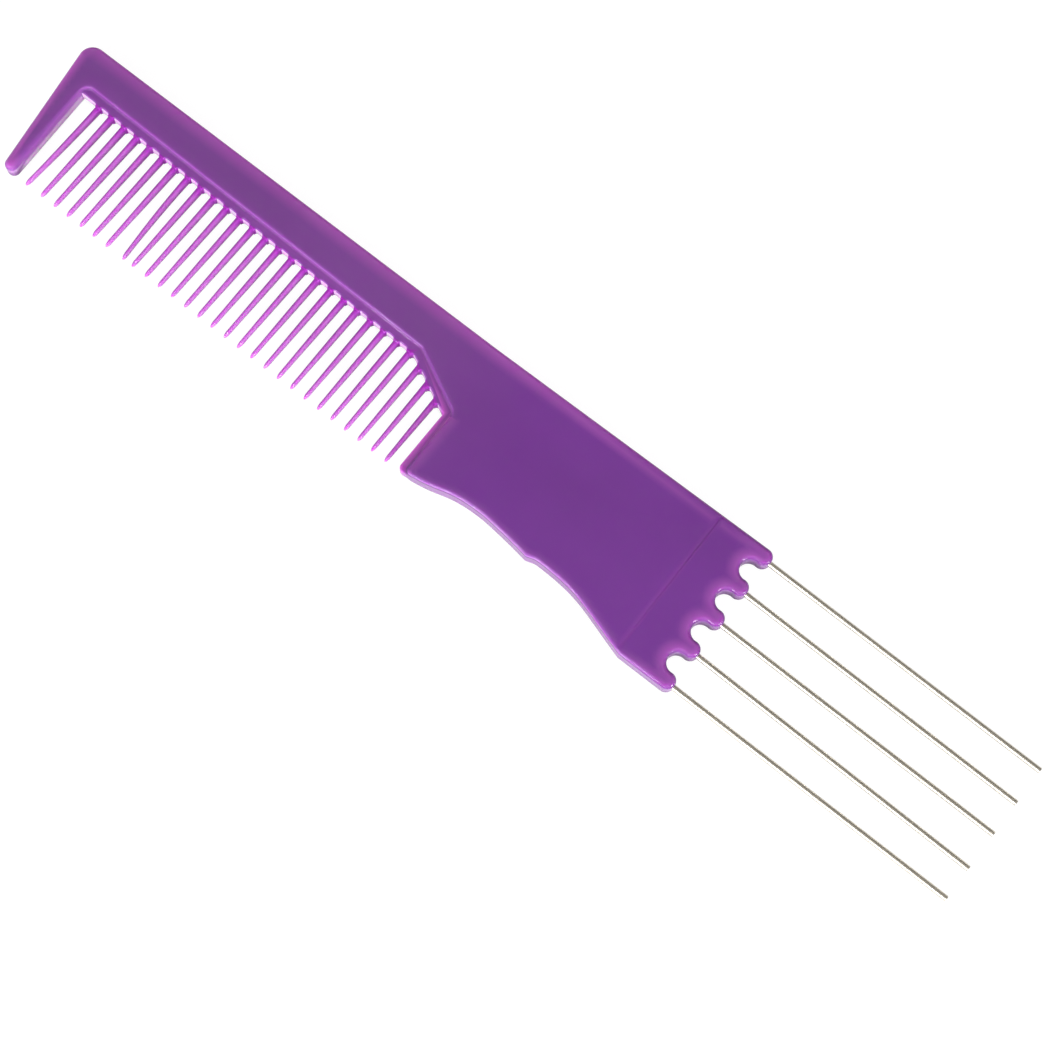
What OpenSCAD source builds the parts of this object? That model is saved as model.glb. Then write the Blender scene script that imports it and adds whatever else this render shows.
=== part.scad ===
// Pin tail lift comb: one moulded comb body with a row of fine teeth, and
// five straight steel lift pins held in bosses at the handle's end.
// Millimetres. The comb lies on its back face at z = 0, the pins point to +X,
// the spine is on the +Y side, and the origin is below the middle of the box.

/* [Plate] */
// Thickness of the moulded plate
plate_t = 4; // [3.2:0.1:5]
// How far the spine edge runs lower along the teeth than at the head
spine_drop = 0.75; // [0:0.05:1.5]
// Handle length from the tooth bay to the insert line
handle_l = 45.6; // [40:0.5:60]
// Radius of the corner between spine and guard tooth
heel_r = 2.4; // [1:0.1:3.5]
// Rounding of the plate's long edges
edge_r = 0.6; // [0.2:0.05:1]
// Rounding of the edge between the thick plate and the tooth bed
ledge_edge_r = 0.4; // [0.1:0.05:0.6]
// Depth of the insert line's groove in each face
line_depth = 0.06; // [0.02:0.01:0.2]
// Width of the insert line
line_w = 0.35; // [0.1:0.05:0.8]

/* [Grip] */
// How far the handle's corner stands back from the head's lower edge
corner_rise = 1.9; // [1:0.05:4]
// Radius of the handle's corner beside the teeth
corner_r = 0.9; // [0.7:0.05:1.2]
// Depth of the first finger scallop, measured from the handle's corner
scallop_depth = 2.45; // [1:0.05:3]
// How much the ridge between the scallops stands out from the first one
ridge_h = 1.05; // [0.3:0.05:1.6]
// How much the second scallop lies behind the ridge
second_scallop_depth = 0.55; // [0.1:0.05:1]

/* [Head] */
// Length of the head from the insert line to the boss tips
head_l = 10.6; // [8:0.1:16]
// Radius of each boss around its pin
boss_r = 1.45; // [1.2:0.05:1.8]
// How far the notch centres lie behind the boss centres
notch_setback = 0.35; // [0:0.05:0.6]
// Rounding of the edges around the bosses
boss_edge_r = 0.75; // [0.4:0.05:1.15]

/* [Guard tooth] */
// Width of the guard tooth at the spine, heel to inner edge
guard_w = 4.5; // [3.5:0.1:7]
// Radius of the guard tooth's tip
guard_tip_r = 1.15; // [0.8:0.05:1.5]
// Rounding of the edges around the guard tooth's tip
guard_tip_edge_r = 1; // [0.4:0.05:1.1]
// How far the inner edge leans towards the teeth at the tip
guard_lean = 0.75; // [0:0.05:1]
// Radius where the guard's inner edge meets the ledge
pocket_r = 1.6; // [0.8:0.1:2]

/* [Teeth] */
// Number of fine teeth
tooth_count = 28; // [12:1:34]
// Distance from one tooth to the next
tooth_pitch = 2.8; // [2.2:0.05:3.4]
// Width of a tooth at its root
tooth_w = 1; // [0.7:0.05:1.2]
// Width of a tooth just before its tip
tooth_tip_w = 0.68; // [0.4:0.02:0.9]
// Thickness of a tooth at its root
tooth_t = 2.1; // [1.5:0.1:2.2]
// Thickness of a tooth just before its tip
tooth_tip_t = 1.3; // [0.8:0.1:1.8]
// Distance from the spine edge to the tooth tips
tooth_reach = 25.8; // [22:0.1:30]
// Gap between the guard tooth and the first fine tooth
first_gap = 3.4; // [1.5:0.05:5]
// Gap between the last fine tooth and the handle
last_gap = 2; // [1.2:0.05:3]
// How far the first tooth's tip leans towards the guard
first_tooth_lean = 0.5; // [0:0.05:0.8]
// Which tooth has sprung away from its neighbour
sprung_tooth = 8; // [3:1:12]
// How far the sprung tooth's tip leans towards the handle
sprung_tooth_lean = 0.8; // [0:0.05:1]

/* [Tooth bed] */
// Thickness of the bed that carries the teeth
bed_t = 2.4; // [2.2:0.1:3]
// Distance from the spine edge to the tooth roots at the guard
root_depth = 7.75; // [6:0.05:10]
// How much deeper the roots lie before the bay's slope
root_fall = 1.05; // [0:0.05:2]
// Height of the bed between the roots and the ledge
bed_h = 1.4; // [1:0.05:2.5]
// Radius of the slot corners between the teeth
slot_r = 0.45; // [0.2:0.05:0.6]
// Run of the bay's sloping end, measured along the comb
slope_run = 10.3; // [6:0.1:14]
// How far the tooth roots fall along the sloping end
slope_fall = 5.15; // [2:0.05:8]

/* [Lift pins] */
// Diameter of the steel pins
pin_d = 1; // [0.8:0.05:1.4]
// Distance from one pin to the next
pin_pitch = 6.37; // [5:0.01:8]
// Free length of the pins beyond the bosses
pin_out = 53; // [30:0.1:70]
// How far short of the insert line the pins end inside the head
pin_stop = 0.8; // [0.4:0.1:2]
// Radial clearance between a pin and its bore
pin_fit = 0.015; // [0.01:0.005:0.05]
// Chamfer at the cut end of each pin
pin_chamfer = 0.12; // [0.05:0.01:0.25]

/* [Hidden] */
pin_count = 5;
// How many degrees each pin leans from the comb's line, as it was moulded in
pin_lean = [-0.27, -0.4, -0.2, -0.6, -0.06];
plastic_color = [0.47, 0.25, 0.58];
steel_color = [0.62, 0.6, 0.55];
// Overrun of every cut and of every piece that is sunk into its neighbour
over = 0.5;
// Points closer together than this count as one
least_step = 0.001;
arc_steps = 6;
round_steps = 3;
round_sides = 48;

// Stations along the comb
bay_l = first_gap + (tooth_count - 1) * tooth_pitch + tooth_w + last_gap;
total_l = guard_w + bay_l + handle_l + head_l + pin_out;
heel_x = -total_l / 2;
bay_x = heel_x + guard_w;
handle_x = bay_x + bay_l;
line_x = handle_x + handle_l;
boss_tip_x = line_x + head_l;
boss_x = boss_tip_x - boss_r;
tooth_1_x = bay_x + first_gap + tooth_w / 2;
pin_hold = head_l - pin_stop;

// Stations across the comb
head_w = (pin_count - 1) * pin_pitch + 2 * boss_r;
head_y = head_w / 2;
low_y = -head_y;
spine_y = head_y - spine_drop;
tip_y = spine_y - tooth_reach;
root_y = spine_y - root_depth;
corner_y = low_y + corner_rise;
mid_z = plate_t / 2;

// Plane geometry helpers
function unit(v) = v / norm(v);
function angle(v) = atan2(v.y, v.x);
function flat(list) = [for (part = list) each part];
function turn(a) = a > 180 ? a - 360 : a < -180 ? a + 360 : a;
function arc(c, r, a0, a1, n = arc_steps) =
    [for (k = [0:n]) let (a = a0 + (a1 - a0) * k / n) c + r * [cos(a), sin(a)]];
function rounded_corner(a, b, c, r) =
    let (u = unit(a - b), v = unit(c - b), half = acos(u * v) / 2)
    let (p = b + u * r / tan(half), q = b + v * r / tan(half))
    let (o = b + unit(u + v) * r / sin(half))
    arc(o, r, angle(p - o), angle(p - o) + turn(angle(q - o) - angle(p - o)));
function bezier(p, n = 2 * arc_steps) =
    [for (k = [0:n]) let (t = k / n, s = 1 - t)
        s * s * s * p[0] + 3 * s * s * t * p[1] + 3 * s * t * t * p[2] + t * t * t * p[3]];

// The bay's sloping end: the roots turn down at slope_x
slope_x = handle_x - slope_run;
slope = slope_fall / slope_run;
function level_root(x) = root_y - root_fall * (x - bay_x) / (slope_x - bay_x);
function slope_root(x) = root_y - root_fall - slope * (x - slope_x);
function root_at(x) = min(level_root(x), slope_root(x));

// Guard tooth: its outer edge touches the heel's and the tip's circles
heel = [heel_x + heel_r, spine_y - heel_r];
guard_tip = [bay_x + guard_lean - guard_tip_r, tip_y + guard_tip_r];
outer_angle = 360 + angle(guard_tip - heel) - acos((heel_r - guard_tip_r) / norm(guard_tip - heel));
// The tip keeps a little of its flat face, whatever its radius
tip_flat_share = 0.1;
tip_edge_r = min(guard_tip_edge_r, (1 - tip_flat_share) * guard_tip_r);

// Ledge between the thick plate and the thin tooth bed
ledge_left = [bay_x, root_y + bed_h];
ledge_turn = [slope_x + bed_h / 2, level_root(slope_x) + bed_h];
ledge_down = [handle_x + bed_h, ledge_turn.y - slope * (handle_x + bed_h - ledge_turn.x)];

// Lower edge of the handle: a curve through five knots, where the finger
// scallops lie furthest in and the ridges furthest out. The shares along it
// are of handle_l, and the pulls are the heights of the curve's handles.
knot_share = [0.055, 0.338, 0.547, 0.6, 1.016];
reach_back_share = [0, 0.16, 0.068, 0.026, 0.2];
reach_on_share = [0.13, 0.02, 0.024, 0.19, 0];
ridge_back_share = 0.52;
ridge_on_share = 0.4;
flank_share = 0.67;
start_slope = 0.13;
grip_y = [
    corner_y + start_slope * knot_share[0] * handle_l,
    corner_y + scallop_depth,
    corner_y + scallop_depth - ridge_h,
    corner_y + scallop_depth - ridge_h + second_scallop_depth,
    low_y];
pull_back = [0, 0, ridge_back_share * ridge_h, 0, flank_share * (grip_y[3] - low_y)];
pull_on = [start_slope * reach_on_share[0] * handle_l, 0, ridge_on_share * second_scallop_depth, 0, 0];
function knot(k) = [handle_x + knot_share[k] * handle_l, grip_y[k]];
grip_curve = flat([for (k = [0:len(knot_share) - 2]) bezier([
    knot(k),
    knot(k) + [reach_on_share[k] * handle_l, pull_on[k]],
    knot(k + 1) + [-reach_back_share[k + 1] * handle_l, pull_back[k + 1]],
    knot(k + 1)])]);

// Corners beside the teeth, of the thin bed and of the thick plate
corner = [handle_x, corner_y];
ledge_foot = corner + bed_h * [1, start_slope];

// Boss and notch arcs; notches touch the boss arcs smoothly
notch_x = boss_x - notch_setback;
notch_r = norm([notch_setback, pin_pitch / 2]) - boss_r;
blend_angle = atan2(notch_setback, pin_pitch / 2);
function pin_y(i) = head_y - boss_r - (i - 1) * pin_pitch;
function boss_arc(i) = arc([boss_x, pin_y(i)], boss_r,
    i == pin_count ? -90 : -90 - blend_angle, i == 1 ? 90 : 90 + blend_angle, 2 * arc_steps);
function notch_half(i, a0, a1) = arc([notch_x, pin_y(i) + pin_pitch / 2], notch_r, a0, a1);

// Hubs inside the plate, from guard tip to handle and then one behind each
// boss. The flat faces are fans of triangles around them.
plate_hubs = concat(
    [guard_tip, [(heel_x + bay_x) / 2, (spine_y + ledge_left.y) / 2],
     [slope_x, (spine_y + ledge_turn.y) / 2], [handle_x + slope_run, ledge_down.y]],
    [for (i = [1:pin_count]) [notch_x - notch_r - boss_r, pin_y(i)]]);
handle_hub = 3;
hub_web = [for (i = [1:pin_count - 1]) [handle_hub, handle_hub + i + 1, handle_hub + i]];

// Points with the rounding of their edge and the number of their hub
function edge_at(x) =
    edge_r + (boss_edge_r - edge_r) * max(0, min(1, (x - line_x) / (notch_x - line_x)));
function edged(points, r, hub) = [for (p = points) [p.x, p.y, r, hub]];
function blended(points, hub) = [for (p = points) [p.x, p.y, edge_at(p.x), hub]];

// Drops each point that repeats the one before it
function distinct(points) =
    let (n = len(points))
    [for (i = [0:n - 1]) let (p = points[i], q = points[(i + n - 1) % n])
        if (norm([p.x - q.x, p.y - q.y]) > least_step) p];

// Outline of the thick plate, counter-clockwise from the guard tooth's tip
plate_outline = distinct(flat([
    edged(arc(guard_tip, guard_tip_r, outer_angle, 360, 2 * arc_steps), tip_edge_r, 0),
    edged(rounded_corner(guard_tip + [guard_tip_r, 0], ledge_left, ledge_turn, pocket_r), ledge_edge_r, 1),
    edged(rounded_corner(ledge_left, ledge_turn, ledge_down, bed_h), ledge_edge_r, 2),
    edged(rounded_corner(ledge_turn, ledge_down, ledge_foot, bed_h), ledge_edge_r, handle_hub),
    edged(rounded_corner(ledge_down, ledge_foot, knot(0), corner_r), edge_r, handle_hub),
    blended([for (p = grip_curve) if (p.x < line_x) p], handle_hub),
    blended([for (p = grip_curve) if (p.x >= line_x) p], handle_hub + pin_count),
    flat([for (i = [pin_count:-1:1]) concat(
        i == pin_count ? [] : blended(notch_half(i + 1, 180, 90 - blend_angle), handle_hub + i),
        blended(boss_arc(i), handle_hub + i),
        i == 1 ? [] : blended(notch_half(i, 270 + blend_angle, 180), handle_hub + i))]),
    edged([[handle_x, spine_y]], edge_r, handle_hub),
    edged([[slope_x, spine_y]], edge_r, 2),
    edged(arc(heel, heel_r, 90, outer_angle, 2 * arc_steps), edge_r, 1)]));

// Solid plate with rounded edges over an outline, whose flat faces are fans
// around the hubs, closed between them by the triangles of the web
module rounded_plate(outline, hubs, web, t) {
    n = len(outline);
    function at(i) = let (p = outline[(i + n) % n]) [p.x, p.y];
    function side(i) = let (d = unit(at(i + 1) - at(i))) [d.y, -d.x];
    outward = [for (i = [0:n - 1]) let (s = side(i - 1) + side(i)) 2 * s / (s * s)];
    angles = [for (k = [0:round_steps]) 90 - 90 * k / round_steps];
    function ring(a, top) =
        [for (i = [0:n - 1]) let (r = outline[i][2], p = at(i) - outward[i] * r * (1 - cos(a)))
            let (z = r * (1 - sin(a))) [p.x, p.y, top ? t - z : z]];
    layers = concat([for (a = angles) ring(a, false)], [for (k = [round_steps:-1:0]) ring(angles[k], true)]);
    m = len(layers);
    // A flat face whose rim starts at point rim and whose hubs start at point hub
    function face(rim, hub) = concat(
        [for (i = [0:n - 1]) let (j = (i + 1) % n, a = outline[i][3], b = outline[j][3])
            each concat([[rim + i, rim + j, hub + a]], a == b ? [] : [[rim + j, hub + b, hub + a]])],
        [for (f = web) [for (h = f) hub + h]]);
    function flipped(faces) = [for (f = faces) [f[0], f[2], f[1]]];
    polyhedron(
        points = concat(flat(layers), [for (z = [0, t], h = hubs) [h.x, h.y, z]]),
        faces = concat(
            face(0, m * n),
            [for (k = [0:m - 2], i = [0:n - 1]) let (j = (i + 1) % n)
                each [[k * n + i, (k + 1) * n + i, (k + 1) * n + j], [k * n + i, (k + 1) * n + j, k * n + j]]],
            flipped(face((m - 1) * n, m * n + len(hubs)))));
}

// One corner-rounded slot top between two teeth, from left to right
function slot_top(x0, x1) = concat(
    rounded_corner([x0, tip_y], [x0, root_at(x0)], [x1, root_at(x1)], slot_r),
    rounded_corner([x0, root_at(x0)], [x1, root_at(x1)], [x1, tip_y], slot_r));
function tooth_x(i) = tooth_1_x + (i - 1) * tooth_pitch;

// Thin bed: slot tops below, the strip beside the handle, and a part sunk
// into the thick plate
bed_outline = concat(
    slot_top(bay_x, tooth_x(1) - tooth_w / 2),
    [for (i = [1:tooth_count - 1]) each slot_top(tooth_x(i) + tooth_w / 2, tooth_x(i + 1) - tooth_w / 2)],
    slot_top(tooth_x(tooth_count) + tooth_w / 2, handle_x),
    rounded_corner([handle_x, root_y], corner, knot(0), corner_r),
    [knot(0), knot(0) + [0, corner_r], ledge_foot + [corner_r, corner_r], ledge_down + [over, over],
     ledge_turn + [over, over], ledge_left + [-over, over], [bay_x - over, root_y - slot_r]]);

module tooth_bed() {
    translate([0, 0, mid_z - bed_t / 2]) linear_extrude(bed_t) polygon(bed_outline);
}

// One tooth as stations from inside the bed to the rounded tip. The shares
// are of its length, of its taper and of its size at the tip, and the last
// two shape the eight-sided section.
station_share = [0, 0.5, 0.88, 0.97, 1];
taper_share = [0, 0.45, 1, 1, 1];
round_share = [1, 1, 1, 0.72, 0.3];
flank_height_share = 0.45;
face_width_share = 0.5;
module tooth(i) {
    top = root_at(tooth_x(i)) + bed_h / 2;
    lean = i == 1 ? -first_tooth_lean : i == sprung_tooth ? sprung_tooth_lean : 0;
    stations = [for (k = [0:len(station_share) - 1])
        let (s = station_share[k], f = taper_share[k], e = round_share[k])
        let (w = (tooth_w + (tooth_tip_w - tooth_w) * f) / 2 * e)
        let (h = (tooth_t + (tooth_tip_t - tooth_t) * f) / 2 * e)
        let (a = face_width_share * w, b = flank_height_share * h)
        let (x = tooth_x(i) + lean * s * s, y = top + (tip_y - top) * s)
        [for (q = [[w, b], [a, h], [-a, h], [-w, b], [-w, -b], [-a, -h], [a, -h], [w, -b]])
            [x + q.x, y, mid_z + q.y]]];
    n = len(stations[0]);
    m = len(stations);
    polyhedron(
        points = flat(stations),
        faces = concat(
            [[for (j = [0:n - 1]) j]],
            [for (k = [0:m - 2], j = [0:n - 1]) let (l = (j + 1) % n)
                each [[k * n + j, (k + 1) * n + j, (k + 1) * n + l], [k * n + j, (k + 1) * n + l, k * n + l]]],
            [[for (j = [n - 1:-1:0]) (m - 1) * n + j]]));
}

// Stands its children up along pin i, with their base at the pin's inner end
module along_pin(i) {
    translate([boss_tip_x, pin_y(i), mid_z]) rotate([0, 0, pin_lean[i - 1]])
        translate([-pin_hold, 0, 0]) rotate([0, 90, 0]) children();
}

module pin_bore(i) {
    along_pin(i) translate([0, 0, -pin_fit])
        cylinder(r = pin_d / 2 + pin_fit, h = pin_hold + pin_fit + over, $fn = round_sides);
}

// The moulded body: plate, bed and teeth in one piece, bored for the pins,
// with the line of the mould insert across both faces
module comb_body() {
    color(plastic_color) difference() {
        union() {
            rounded_plate(plate_outline, plate_hubs, hub_web, plate_t);
            tooth_bed();
            for (i = [1:tooth_count]) tooth(i);
        }
        for (i = [1:pin_count]) pin_bore(i);
        for (z = [-over, plate_t - line_depth])
            translate([line_x - line_w / 2, low_y - over, z])
                cube([line_w, head_w + 2 * over, over + line_depth]);
    }
}

// One straight steel pin with a lightly chamfered free end
module lift_pin(i) {
    length = pin_hold + pin_out;
    r = pin_d / 2;
    color(steel_color) along_pin(i) rotate_extrude($fn = round_sides) polygon([
        [0, 0], [r, 0], [r, length - pin_chamfer], [r - pin_chamfer, length], [0, length]]);
}

comb_body();
lift_pin(1);  // lift_pin_1
lift_pin(2);  // lift_pin_2
lift_pin(3);  // lift_pin_3
lift_pin(4);  // lift_pin_4
lift_pin(5);  // lift_pin_5
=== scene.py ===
"""Looks of the pin tail lift comb: a glossy cloudy purple moulding with fine
teeth, and five bright steel pins. Metres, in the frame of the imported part:
the back face lies at z = 0, the pins point to +X and the spine is on +Y."""

import math

import bmesh
import bpy
from bpy.props import FloatProperty, FloatVectorProperty, IntProperty, PointerProperty
from mathutils import Matrix, Vector
from mathutils.geometry import delaunay_2d_cdt
from mathutils.kdtree import KDTree


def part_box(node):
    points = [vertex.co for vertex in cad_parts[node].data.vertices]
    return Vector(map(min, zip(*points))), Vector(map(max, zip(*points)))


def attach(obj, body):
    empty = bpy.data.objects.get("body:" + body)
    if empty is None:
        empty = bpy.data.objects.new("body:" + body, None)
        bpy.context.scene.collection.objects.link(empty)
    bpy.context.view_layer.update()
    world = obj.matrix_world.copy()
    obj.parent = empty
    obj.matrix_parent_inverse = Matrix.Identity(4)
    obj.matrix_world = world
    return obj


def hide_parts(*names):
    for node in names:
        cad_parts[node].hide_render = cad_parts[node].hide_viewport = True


bl_info = {
    "name": "Pin tail lift comb",
    "version": (1, 0, 0),
    "blender": (4, 5, 0),
    "location": "3D View > Sidebar > Comb",
    "description": "Builds the looks of a pin tail lift comb around its packed model",
    "category": "Object",
}

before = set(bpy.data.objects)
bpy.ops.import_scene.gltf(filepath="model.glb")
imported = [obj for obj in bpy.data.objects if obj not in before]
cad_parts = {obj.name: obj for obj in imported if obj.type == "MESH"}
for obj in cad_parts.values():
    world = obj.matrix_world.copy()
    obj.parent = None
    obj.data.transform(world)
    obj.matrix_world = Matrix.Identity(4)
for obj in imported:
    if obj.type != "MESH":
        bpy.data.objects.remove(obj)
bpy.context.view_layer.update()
BODY_LOW, BODY_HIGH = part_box("comb_body")
PIN_NODES = sorted(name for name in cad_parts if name.startswith("lift_pin_"))

# Plan of the moulding, in metres
SPINE_DROP = 0.00075
HANDLE_LENGTH = 0.0456
HEAD_LENGTH = 0.0106
HEEL_RADIUS = 0.0024
GUARD_WIDTH = 0.0045
GUARD_TIP_RADIUS = 0.00115
GUARD_LEAN = 0.00075
POCKET_RADIUS = 0.0016
ROOT_DEPTH = 0.00775
ROOT_FALL = 0.00105
BED_HEIGHT = 0.0014
SLOPE_RUN = 0.0103
SLOPE_FALL = 0.00515
SLOT_RADIUS = 0.00045
TOOTH_REACH = 0.0258
FIRST_GAP = 0.0034
LAST_GAP = 0.002
FIRST_LEAN = -0.0005
SPRUNG_TOOTH = 8
SPRUNG_LEAN = 0.0008
BOSS_RADIUS = 0.00145
NOTCH_SETBACK = 0.00035
PIN_PITCH = 0.00637
CORNER_RISE = 0.0019
CORNER_RADIUS = 0.0009
SCALLOP_DEPTH = 0.00245
RIDGE_HEIGHT = 0.00105
SECOND_SCALLOP_DEPTH = 0.00055
START_SLOPE = 0.13
SUNK = 0.0005
TOOTH_HALF = 0.0005
TOOTH_INSET = 0.00001
BED_EDGE_RADIUS = 0.0003
FOOT_FILLET = 0.00035
TIP_LOOK_LENGTH = 0.0022

# Teeth: stations below the root's top, the rounded tip, and the flare that meets the bed
ROOT_STATIONS = (0.0, 0.0004, 0.0007, 0.0011, 0.0016, 0.0022, 0.003, 0.0042)
TOOTH_TIP_LENGTH = 0.0011
FLARE_START = 0.0004
FLARE_LENGTH = 0.0036
BED_SKIN = 0.00004

# Flat sides that make a pin's round section
PIN_SIDES = 32

# Groove where two mould inserts met; its cutter stands proud of the face
GROOVE_HALF = 0.0002
GROOVE_DEPTH = 0.00004
GROOVE_PROUD = 0.0002
GROOVE_OVERRUN = 0.001

# Distances between which the painted colours change
COLOUR_STEP = 0.0003
COLOUR_MARGIN = 0.0002
ROOT_FADE = 0.0028
STRIP_FADE = 0.001
HAIR = 0.00002

# Stage: half the floor's side, its gap under the part, lamps and camera
FLOOR_HALF = 2.0
FLOOR_GAP = 0.00002
CARD_HEIGHT = 0.8
KEY_SIZE, KEY_PLACE = (0.45, 0.2), (0.0, -0.67, 0.26)
FILL_SIZE, FILL_PLACE = (0.24, 0.24), (0.603, -0.072, 0.194)
CAMERA_PLACE = (0.05929, -0.0844, 0.35771)
CAMERA_BACK = (0.13342, -0.21187, 0.96815)
CAMERA_RIGHT = (0.78605, 0.61758, 0.02682)
CAMERA_LENS = 78.857
CAMERA_SENSOR = 36.0


def measure(name, text, value):
    """A length property, in metres."""
    return FloatProperty(name=name, description=text, default=value, min=0.0, precision=5, unit="LENGTH")


def tint(name, text, value):
    """A linear colour property."""
    return FloatVectorProperty(
        name=name, description=text, default=value, size=3, min=0.0, max=1.0, subtype="COLOR")


class CombMoulding(bpy.types.PropertyGroup):
    """Sizes of the moulding, and the colours of its cloudy purple plastic with painted glow, highlights,
    shade and wall light.
    """

    edge_radius: measure("Edge radius", "Rounding of the plate's long edges", 0.0006)
    tip_edge_radius: measure("Tip edge radius", "Rounding of the edges at the guard tooth's tip", 0.001)
    ledge_radius: measure("Ledge radius", "Rounding of the step down to the tooth bed", 0.0004)
    boss_edge_radius: measure("Boss edge radius", "Rounding of the edges around the pin bosses", 0.00075)
    bed_thickness: measure("Bed thickness", "Thickness of the bed that carries the teeth", 0.0024)
    tooth_count: IntProperty(name="Teeth", description="Number of fine teeth", default=28, min=2)
    tooth_pitch: measure("Tooth pitch", "Distance from one tooth to the next", 0.0028)
    tooth_width: measure("Tooth width", "Width of a tooth at its root", 0.00102)
    tip_width: measure("Tip width", "Width of a tooth just before its tip", 0.00068)
    tooth_thickness: measure("Tooth thickness", "Thickness of a tooth below its root", 0.0021)
    tip_thickness: measure("Tip thickness", "Thickness of a tooth just before its tip", 0.0013)
    # Along the teeth the plastic is painted paler and greyer than in the middle of the handle, a faint
    # painted reflection
    body_colour: tint("Body colour", "Colour of the plastic along the teeth", (0.225, 0.072, 0.315))
    deep_colour: tint("Deep colour", "Colour in the middle of the handle", (0.195, 0.048, 0.305))
    bed_colour: tint("Bed colour", "Colour of the thinner bed", (0.255, 0.075, 0.35))
    # Painted glow along the far edges, where light gathers in the plastic
    painted_glow_colour: tint("Glow colour", "Colour along the far edges, where light gathers", (0.43, 0.11, 0.47))
    # The bed's strip beside the handle: partly the thinner plastic, partly a painted glow
    strip_glow_colour: tint("Strip colour", "Colour of the bed's strip beside the handle", (0.58, 0.14, 0.58))
    shade_colour: tint("Shade colour", "Colour in the shade just under an edge", (0.1, 0.022, 0.15))
    # Painted highlight on the rounding of the edges that face the lamps
    painted_highlight_colour: tint(
        "Shine colour", "Colour on the rounding of the edges near the lamps", (0.44, 0.2, 0.56))
    # Painted light on the walls of the plate's edges
    painted_wall_light_colour: tint("Wall colour", "Colour of the lit walls", (0.24, 0.105, 0.3))
    # Painted light of the pale floor seen through the plastic's walls and tooth tips
    painted_floor_light_colour: tint("Clear colour", "Colour where the plastic is nearly clear", (0.9, 0.6, 0.96))
    # Teeth: their colour on the side lit by the lamps, and a painted shade on the side turned from them
    tooth_colour: tint("Tooth colour", "Colour of the thin teeth", (0.47, 0.13, 0.53))
    tooth_shade: tint(
        "Tooth shade", "Colour of the side of a tooth turned from the lamps", (0.28, 0.035, 0.34))
    root_colour: tint("Root colour", "Colour of the roots of the teeth", (0.34, 0.02, 0.42))
    cloud_depth: measure("Cloud depth", "How deep light scatters in the plastic", 0.0015)
    clearness: FloatProperty(
        name="Clearness", description="Share of the light that goes straight through", default=0.03,
        min=0.0, max=1.0, subtype="FACTOR")
    let_through: tint("Colour let through", "Colour that the plastic lets through", (0.53, 0.05, 0.66))
    depth_of_colour: FloatProperty(
        name="Depth of colour", description="Density of the dye, per metre", default=890.0, min=0.0)
    gloss_roughness: FloatProperty(
        name="Surface roughness", description="Roughness of the polished plastic", default=0.045,
        min=0.0, max=1.0, subtype="FACTOR")


class CombPins(bpy.types.PropertyGroup):
    """Sizes and finish of the steel pins."""

    diameter: measure("Diameter", "Diameter of the drawn wire", 0.001)
    held: measure("Held length", "How far the shown wire runs into its boss", 0.0004)
    cut_bevel: measure("Cut bevel", "Bevel around the cut end", 0.00006)
    steel: tint("Steel", "Colour of the bare steel", (0.76, 0.71, 0.61))
    roughness: FloatProperty(
        name="Roughness", description="Roughness of the drawn steel", default=0.25,
        min=0.0, max=1.0, subtype="FACTOR")


class CombStage(bpy.types.PropertyGroup):
    """Floor, lamps and camera."""

    floor: tint("Floor", "Colour of the pale floor", (0.9, 0.9, 0.9))
    sky: FloatProperty(name="Sky", description="Strength of the even light all round", default=0.8, min=0.0)
    key: FloatProperty(
        name="Key lamp", description="Power of the wide low lamp in front", default=5.0, min=0.0,
        unit="POWER")
    fill: FloatProperty(
        name="Fill lamp", description="Power of the low lamp beyond the pins", default=3.5, min=0.0,
        unit="POWER")


# ---------------------------------------------------------------- plan curves

def direction(degrees):
    return Vector((math.cos(math.radians(degrees)), math.sin(math.radians(degrees))))


def bearing(vector):
    return math.degrees(math.atan2(vector.y, vector.x))


def arc(centre, radius, start, end, steps=16):
    return [centre + radius * direction(start + (end - start) * k / steps) for k in range(steps + 1)]


def rounded_corner(before, corner, after, radius, steps=10):
    """Arc that touches both lines that meet in the corner."""
    back = (before - corner).normalized()
    on = (after - corner).normalized()
    half = math.acos(max(-1.0, min(1.0, back.dot(on)))) / 2
    first = corner + back * radius / math.tan(half)
    last = corner + on * radius / math.tan(half)
    centre = corner + (back + on).normalized() * radius / math.sin(half)
    start = bearing(first - centre)
    sweep = (bearing(last - centre) - start + 180) % 360 - 180
    return arc(centre, radius, start, start + sweep, steps)


def bezier(p, steps=24):
    points = []
    for k in range(steps + 1):
        t = k / steps
        s = 1 - t
        points.append(s ** 3 * p[0] + 3 * s * s * t * p[1] + 3 * s * t * t * p[2] + t ** 3 * p[3])
    return points


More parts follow.
